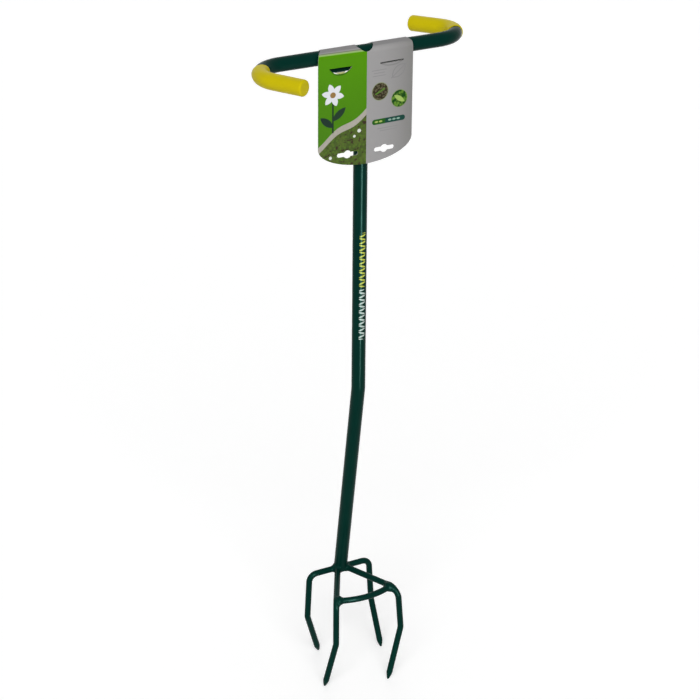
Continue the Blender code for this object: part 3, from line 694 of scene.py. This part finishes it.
def motifs(art):
    """Right half: a pale leaf, two roundels, a two-tone bar and thin rules."""
    paint = art.paint
    (cx, cv, angle), outer, inner = PALE_LEAF
    art.lay((art.leaf(cx, cv, angle, *outer) - art.leaf(cx, cv, angle, *inner)).max(0.0), PALE_INK)
    art.lay(art.pill(cx, cv, angle, *PALE_VEIN), PALE_INK)
    for cx, cv, length, width in RULES[:3]:
        art.lay(art.pill(cx, cv, 0, length, width), RULE_INK)
    for cx, cv, dark, light, scale in ROUNDELS:
        art.lay(art.disc(cx, cv, ROUNDEL_RIM), RIM_INK)
        fill = paint.mix(paint.cells(scale, art.flat).below(0.45, 0.3), dark, light)
        art.lay(art.disc(cx, cv, ROUNDEL_R), fill)
    art.lay(art.leaf(*GREEN_LEAF), GREEN_LEAF_INK)
    art.lay(art.pill(*SPROUT), SPROUT_INK)
    art.lay(art.pill(*BAND), BAND_RIGHT)
    art.lay(art.pill(*BAND) * (art.x - BAND_SPLIT).below(0.0, CRISP), BAND_LEFT)
    for places, ink in BAND_LEAVES:
        for cx in places:
            art.lay(art.leaf(cx, BAND[1], 0, *BAND_LEAF, FINE), ink)
    for cx, cv, length, width in RULES[3:]:
        art.lay(art.pill(cx, cv, 0, length, width), RULE_INK)


def slit_shade(art):
    """Crease marks where the half moons were pressed, darkened as painted shadow, and a dark line painted
    as the shade in the shut slit just under its straight edge.
    """
    for (cx, height, width, _), depth, share, ink in CREASES_AND_SHADOWS:
        u = (art.x - cx) / (width / 2)
        bowl = u.abs().op("POWER", SLIT_FULL) * -1.0 + 1.0
        rim = (art.v - blank_v(height) - bowl * depth).abs()
        art.lay(rim.below(0.0010, 0.0016) * u.abs().below(1.0, 0.05) * share, ink)
    cx, height, width, _ = SHUT_SLIT
    # painted shade: a near-black line along the shut slit's straight edge, where its gap lies in the dark
    line = art.pill(cx, blank_v(height) + 0.0005, 0, width + 0.001, 0.0024, LOOSE)
    art.lay(line * 0.9, (0.03, 0.03, 0.03))


# Card: front panel, wrap round the bar, two tabs
def card_half_width(v):
    """Half width of the flat blank, v down the front from the fold."""
    return CARD_HALF - CARD_NECK * exp(-(max(v - CARD_NECK_V, 0.0) / CARD_NECK_LEN) ** 2)


def smooth(t):
    """0 to 1 with soft ends."""
    t = min(max(t, 0.0), 1.0)
    return t * t * (3 - 2 * t)


def front_line(v):
    """Inner face in front: round the bar, straight strip, rounded shoulder, straight down."""
    r, a = CARD_IN_R, CARD_LIFT
    if v <= r * a:
        return r * sin(v / r), r * cos(v / r)
    out, up, d = r * sin(a), r * cos(a), v - r * a
    if d <= CARD_STRIP:
        return out + d * cos(a), up - d * sin(a)
    out, up, d = out + CARD_STRIP * cos(a), up - CARD_STRIP * sin(a), d - CARD_STRIP
    turn = min(a + d / SHOULDER_R, pi / 2)
    d -= SHOULDER_R * (turn - a)
    return out + SHOULDER_R * (sin(turn) - sin(a)), up - SHOULDER_R * (cos(a) - cos(turn)) - d


def card_line(x, v):
    """Inner face of the card at v along the flat blank: out from the bar's axis, and up."""
    if v >= 0:
        out, up = front_line(v)
        return out + CARD_CREASE * (1 - abs(x) / CARD_HALF) * smooth((v - CREASE_V) / CREASE_LEN), up
    r, a = CARD_IN_R, min(-v / CARD_IN_R, CARD_UNDER)
    d = -v - r * a
    return r * sin(a) + d * cos(a), r * cos(a) - d * sin(a)


def card_point(x, v, w):
    """Where a point of the flat blank lies once the card is bent round the bar."""
    side = -1.0 if v >= 0 else 1.0
    y, z = card_line(x, v)
    y2, z2 = card_line(x, v - side * TINY)
    dy, dz = y2 - y, z2 - z
    length = hypot(dy, dz)
    x += CARD_SKEW * smooth((SKEW_LOW_V - v) / (SKEW_LOW_V - SKEW_HIGH_V))
    return Vector((CARD_X + x, side * (y - w * dz / length), BAR_Z + z + w * dy / length))


def blank_v(z):
    """Place along the flat blank of a height on the front panel."""
    low = 0.1
    return low + BAR_Z + front_line(low)[1] - z


def tab_reach():
    """Length along the blank from the fold, over the back, to where a tab meets the front panel."""
    reach = CARD_IN_R * CARD_UNDER
    while True:
        y, z = card_line(OPEN_SLIT[0], -reach)
        if -y >= card_line(OPEN_SLIT[0], blank_v(BAR_Z + z))[0]:
            return reach
        reach += TINY


SHOULDER_V = CARD_IN_R * CARD_LIFT + CARD_STRIP
PANEL_V = SHOULDER_V + SHOULDER_R * (pi / 2 - CARD_LIFT)
REACH = tab_reach()


def capsule(cx, cy, width, height, n=10):
    """Outline of a slot with round ends."""
    r = height / 2
    half = width / 2 - r
    out = []
    for s, base in ((1, -pi / 2), (-1, pi / 2)):
        out += [(cx + s * half + r * cos(base + pi * k / n), cy + r * sin(base + pi * k / n))
                for k in range(n + 1)]
    return out


def disc(cx, cy, r, n=36):
    """Outline of a round hole."""
    return [(cx + r * cos(2 * pi * k / n), cy + r * sin(2 * pi * k / n)) for k in range(n)]


def tab_side(cx, tongue, sign):
    """One edge of a tab in the flat: flap, straight side, end, then half of its tongue if any."""
    edge, stop = -CARD_IN_R * FLAP_EDGE, TAB_STOP - REACH
    turns = quarter(6)
    pts = [(TAB_HALF + TAB_ROUND * (1 - sin(a)), edge - TAB_ROUND * (1 - cos(a))) for a in turns]
    pts += [(TAB_HALF - TAB_ROUND * (1 - cos(a)), stop + TAB_ROUND * (1 - sin(a))) for a in turns]
    turns = quarter(16) if tongue else [pi / 2]
    pts += [(TAB_TONGUE * cos(a), stop - tongue * sin(a)) for a in turns]
    return [(cx + sign * x, v) for x, v in pts]


def card_holes():
    """Outlines that are cut from the flat blank."""
    turns = [2 * pi * k / 72 for k in range(72)]
    holes = [[(NOTCH_HALF * cos(t), NOTCH_V + (NOTCH_FRONT if t < pi else NOTCH_BACK) * sin(t))
              for t in turns]]
    for cx in (-EURO_X, EURO_X):
        cy = blank_v(EURO_Z)
        holes += [capsule(cx, cy, EURO_W, EURO_H), disc(cx, cy, EURO_BUMP_R)]
    for cx, height, width, sag in (OPEN_SLIT, SHUT_SLIT):
        cy = blank_v(height)
        steps = [k / 20 - 1 for k in range(41)]
        moon = [(cx + width / 2 * u, cy + sag * (1 - abs(u) ** SLIT_FULL)) for u in steps]
        holes.append(moon + [(cx, cy - 0.0002)])
    far = 0.2
    edge = [(-far, -CARD_IN_R * FLAP_EDGE)]
    for cx, tongue in ((OPEN_SLIT[0], TAB_STOP + TAB_OUT), (SHUT_SLIT[0], 0.0)):
        edge += tab_side(cx - CARD_SKEW, tongue, -1)
        edge += reversed(tab_side(cx - CARD_SKEW, tongue, 1)[:-1])
    holes.append(edge + [(far, -CARD_IN_R * FLAP_EDGE), (far, -far), (-far, -far)])
    return holes


def cutter(outline):
    """Hidden prism through the flat blank."""
    bm = bmesh.new()
    depth = 0.01
    face = bm.faces.new([bm.verts.new((x, y, -depth)) for x, y in outline])
    made = bmesh.ops.extrude_face_region(bm, geom=[face])["geom"]
    top = [e for e in made if isinstance(e, bmesh.types.BMVert)]
    bmesh.ops.translate(bm, vec=(0, 0, 2 * depth), verts=top)
    obj = bpy.data.objects.new("cutter", mesh_from(bm))
    bpy.context.scene.collection.objects.link(obj)
    return obj


def flat_blank():
    """The card before it is bent, on a fine grid: rows along v, columns across."""
    lift, under = CARD_IN_R * CARD_LIFT, CARD_IN_R * CARD_UNDER
    corner = blank_v(CARD_BOTTOM_Z + CARD_CORNER_H)
    front = [lift * k / 2 for k in (1, 2)] + [lift + CARD_STRIP * k / 10 for k in range(1, 11)]
    front += [SHOULDER_V + (PANEL_V - SHOULDER_V) * k / 16 for k in range(1, 17)]
    front += [PANEL_V + PANEL_GAP * k for k in range(1, 9)]
    while front[-1] < corner - LOW_GAP:
        front.append(front[-1] + LOW_GAP)
    back = [under * k / 40 for k in range(41)] + [under + TAB_GAP * k for k in range(1, 8)]
    back.append(REACH + TONGUE_SPARE)
    lines = [(-s, card_half_width(-s)) for s in reversed(back)]
    lines += [(s, card_half_width(s)) for s in front]
    arc = [radians(a) for a in (*range(0, 60, 5), *range(60, 88, 3), 88.5)]    # finer towards its foot
    lines += [(corner + CARD_CORNER_H * sin(a), CARD_HALF * cos(a)) for a in arc]
    bm = bmesh.new()
    grid = [[[bm.verts.new((w * (2 * c / CARD_COLUMNS - 1), v, t)) for c in range(CARD_COLUMNS + 1)]
             for t in (0, CARD_T)] for v, w in lines]
    for a, b in zip(grid, grid[1:]):
        for k in range(CARD_COLUMNS):
            bm.faces.new((a[1][k], a[1][k + 1], b[1][k + 1], b[1][k]))
            bm.faces.new((a[0][k + 1], a[0][k], b[0][k], b[0][k + 1]))
        bm.faces.new((a[0][0], a[1][0], b[1][0], b[0][0]))
        bm.faces.new((a[1][-1], a[0][-1], b[0][-1], b[1][-1]))
    for row, flip in ((grid[0], False), (grid[-1], True)):
        for k in range(CARD_COLUMNS):
            q = (row[0][k], row[0][k + 1], row[1][k + 1], row[1][k])
            bm.faces.new(reversed(q) if flip else q)
    return mesh_from(bm)


def card(mat):
    """The blank with its holes cut, then bent point by point, each point keeping its flat place."""
    blank = bpy.data.objects.new("blank", flat_blank())
    bpy.context.scene.collection.objects.link(blank)
    tools = [cutter(outline) for outline in card_holes()]
    for tool in tools:
        mod = blank.modifiers.new("hole", "BOOLEAN")
        mod.operation = "DIFFERENCE"
        mod.object = tool
    bpy.context.view_layer.update()
    mesh = bpy.data.meshes.new_from_object(blank.evaluated_get(bpy.context.evaluated_depsgraph_get()))
    for obj in [blank] + tools:
        bpy.data.objects.remove(obj, do_unlink=True)
    bm = bmesh.new()
    bm.from_mesh(mesh)
    bmesh.ops.remove_doubles(bm, verts=bm.verts, dist=1e-6)
    bmesh.ops.triangulate(bm, faces=bm.faces)
    places = [vert.co.copy() for vert in bm.verts]
    for vert in bm.verts:
        vert.co = card_point(*vert.co)
    mesh = mesh_from(bm)
    flat = mesh.attributes.new("blank", "FLOAT_VECTOR", "POINT")
    flat.data.foreach_set("vector", [c for p in places for c in p])
    return new_piece("printed_card_sleeve", mesh, mat, "card", "card_sleeve", 30)


# Pieces
def bar(coat):
    """Handlebar tube: one end, the straight middle, the other end."""
    left, right = (bar_end(side, (BAR_LEG[side] - TUBE_END,)) for side in (1, -1))
    points = spaced(list(reversed(left)) + right, BAR_GAP)
    bm = sweep(points, [TUBE_R] * len(points), TUBE_SIDES)
    new_piece("coated_handlebar", mesh_from(bm), coat, "tiller", "handlebar_tube")


def grip(name, sign, node, mat):
    """Dipped sleeve: follows the bend, rounded at its end, with a soft lip at the dip line."""
    r = GRIP_END_ROUND
    arc = quarter(10)
    leg = BAR_LEG[sign] - r
    straight = [leg * k / 16 for k in range(1, 17)]
    points = bar_end(sign, straight + [leg + r * sin(a) for a in arc[1:]], GRIP_FROM)
    plain = len(points) - len(arc) + 1
    radii = [GRIP_R] * plain + [GRIP_R - r * (1 - cos(a)) for a in arc[1:]]
    bm = sweep(points, radii, TUBE_SIDES)
    turn = Matrix.Rotation(BAR_ROLL[sign], 3, "X")
    slice_off(bm, Vector((0, 0, BAR_Z)) + turn @ Vector((0, -sign * GRIP_DIP_Y, 0)),
              turn @ Vector((0, sign, 0)), GRIP_LIP)
    new_piece(name, mesh_from(bm), mat, "tiller", node, 50)


def shaft(coat):
    """Shaft tube with its one bend.  Its ends lie inside the welds."""
    ends = [Vector((SHAFT_X, 0, BAR_Z - POST_DROP)), BEND, HUB + DOWN * FOOT_PAST]
    points = spaced(rounded_path(ends, [SHAFT_BEND_R], SHAFT_STEP), SHAFT_GAP)
    bm = sweep(points, [TUBE_R] * len(points), TUBE_SIDES)
    new_piece("coated_shaft", mesh_from(bm), coat, "tiller", "shaft_tube")


def pointed(line):
    """The line with close steps over the ground point at its end."""
    tip = line[-1]
    back = (line[-2] - tip).normalized()
    return line[:-1] + [tip + back * POINT_LEN * (1 - k / 12) for k in range(13)]


def rod_radius(p, tips):
    """Full rod, or the taper of a ground point near its tip."""
    share = max(0.0, 1 - min((p - tip).length for tip in tips) / POINT_LEN)
    return ROD_R - (ROD_R - POINT_R) * share ** POINT_CURVE


def tine_rod(name, node, points, both, coat):
    """Rod with one or two ground points, their tips dressed flat on the ground."""
    tips = [points[-1]]
    line = pointed(points)
    if both:
        tips.append(points[0])
        line = pointed(list(reversed(line)))
    line = spaced(line, ROD_GAP)
    bm = sweep(line, [rod_radius(p, tips) for p in line], ROD_SIDES)
    slice_off(bm, Vector((0, 0, 0)), Vector((0, 0, -1)), POINT_EDGE)
    new_piece(name, mesh_from(bm), coat, "tiller", node)


def hub_weld(coat, arms):
    """Bead round the foot of the shaft, open inside as the tube is."""
    foot = [HUB - DOWN * FOOT_PART, HUB + DOWN * FOOT_PAST]
    bars = [Bar(foot, TUBE_R, foot[1], DOWN)] + [Bar(line, ROD_R) for line in arms]
    bore = (foot[:1] + [HUB + DOWN * BORE_PART], TUBE_R - TUBE_WALL)
    mesh = weld_skin(HUB, HUB_WELD, bars, -DOWN, bore)
    new_piece("hub_weld_bead", mesh, coat, "tiller", "hub_weld")


def foot_rest_weld(coat, side, rest, front, end, nearby):
    """Bead between a front rod and the flared end of the foot rest."""
    way = (end - nearby).normalized()
    collar = Bar(rest, ROD_R, end - way * REST_BACK, way, REST_FLARES[side], REST_FLARE_AT, REST_FLARE_LEN)
    mesh = weld_skin(end, REST_WELDS[side], [Bar(front, ROD_R), collar], nearby - end)
    new_piece(f"foot_rest_weld_bead_{side}", mesh, coat, "tiller", f"foot_rest_weld_{side}")


def claw(coat):
    """The tines and the foot rest, with their welds."""
    rear, fronts = rod_lines()
    rest = rest_line()
    tine_rod("coated_rear_tines", "rear_tine_rod", rear, True, coat)
    for side, line in fronts.items():
        tine_rod(f"coated_front_{side}_tine", f"front_{side}_tine_rod", line, False, coat)
    bm = sweep(rest, [ROD_R] * len(rest), ROD_SIDES)
    new_piece("coated_foot_rest", mesh_from(bm), coat, "tiller", "foot_rest_bar")
    hub_weld(coat, [rear, *fronts.values()])
    foot_rest_weld(coat, "left", rest, fronts["left"], rest[0], rest[3])
    foot_rest_weld(coat, "right", rest, fronts["right"], rest[-1], rest[-4])


def handlebar_weld(coat):
    """Bead between the bar and the shaft.  The back of the wrap swings past its top, which lies low."""
    joint = Vector((SHAFT_X, 0, BAR_Z))
    post_top = joint + Vector((0, 0, -POST_DROP))
    across = Vector((BAR_PART, 0, 0))
    bars = [Bar([joint + Vector((0, 0, -BAR_PART)), joint], TUBE_R, post_top, Vector((0, 0, 1))),
            Bar([joint - across, joint + across], TUBE_R)]
    mesh = weld_skin(joint, BAR_WELD, bars, (0, 0, 1))
    for vert in mesh.vertices:
        out = hypot(vert.co.y, vert.co.z - BAR_Z)
        most = TUBE_R + WELD_PROUD + WELD_SLOPE * max(0.0, BAR_Z - WRAP_DROP - vert.co.z)
        if out > most:
            vert.co.y *= most / out
            vert.co.z = BAR_Z + (vert.co.z - BAR_Z) * most / out
    new_piece("handlebar_weld_bead", mesh, coat, "tiller", "handlebar_weld")


# Studio
def camera():
    """Camera at the photograph's viewing angle, turned about the point it looks at."""
    back = Vector((sin(CAM_AZ) * cos(CAM_EL), -cos(CAM_AZ) * cos(CAM_EL), sin(CAM_EL)))
    right = Vector((cos(CAM_AZ), sin(CAM_AZ), 0))
    up = back.cross(right)
    x = right * cos(CAM_ROLL) + up * sin(CAM_ROLL)
    y = up * cos(CAM_ROLL) - right * sin(CAM_ROLL)
    data = bpy.data.cameras.new("camera")
    data.lens, data.sensor_width, data.sensor_fit = CAM_LENS, CAM_SENSOR, "HORIZONTAL"
    data.clip_end = CAM_FAR
    cam = bpy.data.objects.new("camera", data)
    place = Matrix((x, y, back)).transposed().to_4x4()
    place.translation = CAM_TARGET + back * CAM_DISTANCE
    cam.matrix_world = place
    bpy.context.scene.collection.objects.link(cam)
    bpy.context.scene.camera = cam


def area_light(name, place, aim, size, watts):
    """Rectangular lamp that the camera doesn't see."""
    data = bpy.data.lights.new(name, "AREA")
    data.shape, data.energy = "RECTANGLE", watts
    data.size, data.size_y = size
    lamp = bpy.data.objects.new(name, data)
    lamp.location = place
    lamp.rotation_euler = (Vector(aim) - Vector(place)).to_track_quat("-Z", "Y").to_euler()
    lamp.visible_camera = False
    bpy.context.scene.collection.objects.link(lamp)
    return lamp


def soft_sun(name, place, strength):
    """Wide, even light, as of a large softbox far away."""
    data = bpy.data.lights.new(name, "SUN")
    data.energy, data.angle = strength, SUN_WIDTH
    lamp = bpy.data.objects.new(name, data)
    lamp.rotation_euler = Vector(place).to_track_quat("Z", "Y").to_euler()
    bpy.context.scene.collection.objects.link(lamp)
    return lamp


def background_share(tree):
    """1 for the rays that see the white background, 0 for the light on the object."""
    path = tree.nodes.new("ShaderNodeLightPath")
    seen = [Num(tree, path.outputs[f"Is {kind} Ray"]) for kind in ("Camera", "Glossy", "Transmission")]
    return seen[0].max(seen[1]).max(seen[2])


def studio():
    """White surroundings, a pale floor and three plain lamps."""
    bpy.context.scene.view_settings.view_transform = "Standard"
    world = bpy.data.worlds.new("studio")
    bpy.context.scene.world = world
    world.use_nodes = True
    tree = world.node_tree
    light = tree.nodes["Background"]
    light.inputs["Color"].default_value = (1, 1, 1, 1)
    seen = background_share(tree)
    tree.links.new((seen * (1 - WORLD_LIGHT) + WORLD_LIGHT).socket, light.inputs["Strength"])

    bm = bmesh.new()
    bmesh.ops.create_grid(bm, x_segments=1, y_segments=1, size=FLOOR_HALF)
    mesh = bpy.data.meshes.new("floor")
    bm.to_mesh(mesh)
    bm.free()
    floor = bpy.data.objects.new("floor", mesh)
    bpy.context.scene.collection.objects.link(floor)
    mat = bpy.data.materials.new("pale_floor")
    mat.use_nodes = True
    tree = mat.node_tree
    shader = tree.nodes["Principled BSDF"]
    shader.inputs["Base Color"].default_value = FLOOR_COLOUR
    shader.inputs["Roughness"].default_value = FLOOR_ROUGH
    shader.inputs["Specular IOR Level"].default_value = 0.0
    shader.inputs["Emission Color"].default_value = (1, 1, 1, 1)
    tree.links.new((background_share(tree) * FLOOR_GLOW).socket, shader.inputs["Emission Strength"])
    mesh.materials.append(mat)

    soft_sun("key", KEY_FROM, KEY_STRENGTH)
    fill = soft_sun("fill", FILL_FROM, FILL_STRENGTH)
    fill.visible_glossy = False        # lifts the back without a glare along the top edges
    strip = area_light("strip", STRIP_FROM, STRIP_AIM, STRIP_SIZE, STRIP_WATTS)
    strip.visible_diffuse = False      # it only draws the long highlight down the shaft


def build():
    coat = powder_coat("green_powder_coat")
    bar(coat)
    shaft(powder_coat("green_powder_coat_marked", True))
    claw(coat)
    handlebar_weld(coat)
    yellow = vinyl("yellow_dipped_vinyl")
    grip("left_vinyl_grip", 1, "left_grip", yellow)
    grip("right_vinyl_grip", -1, "right_grip", yellow)
    card(board("printed_card"))
    camera()
    studio()


build()
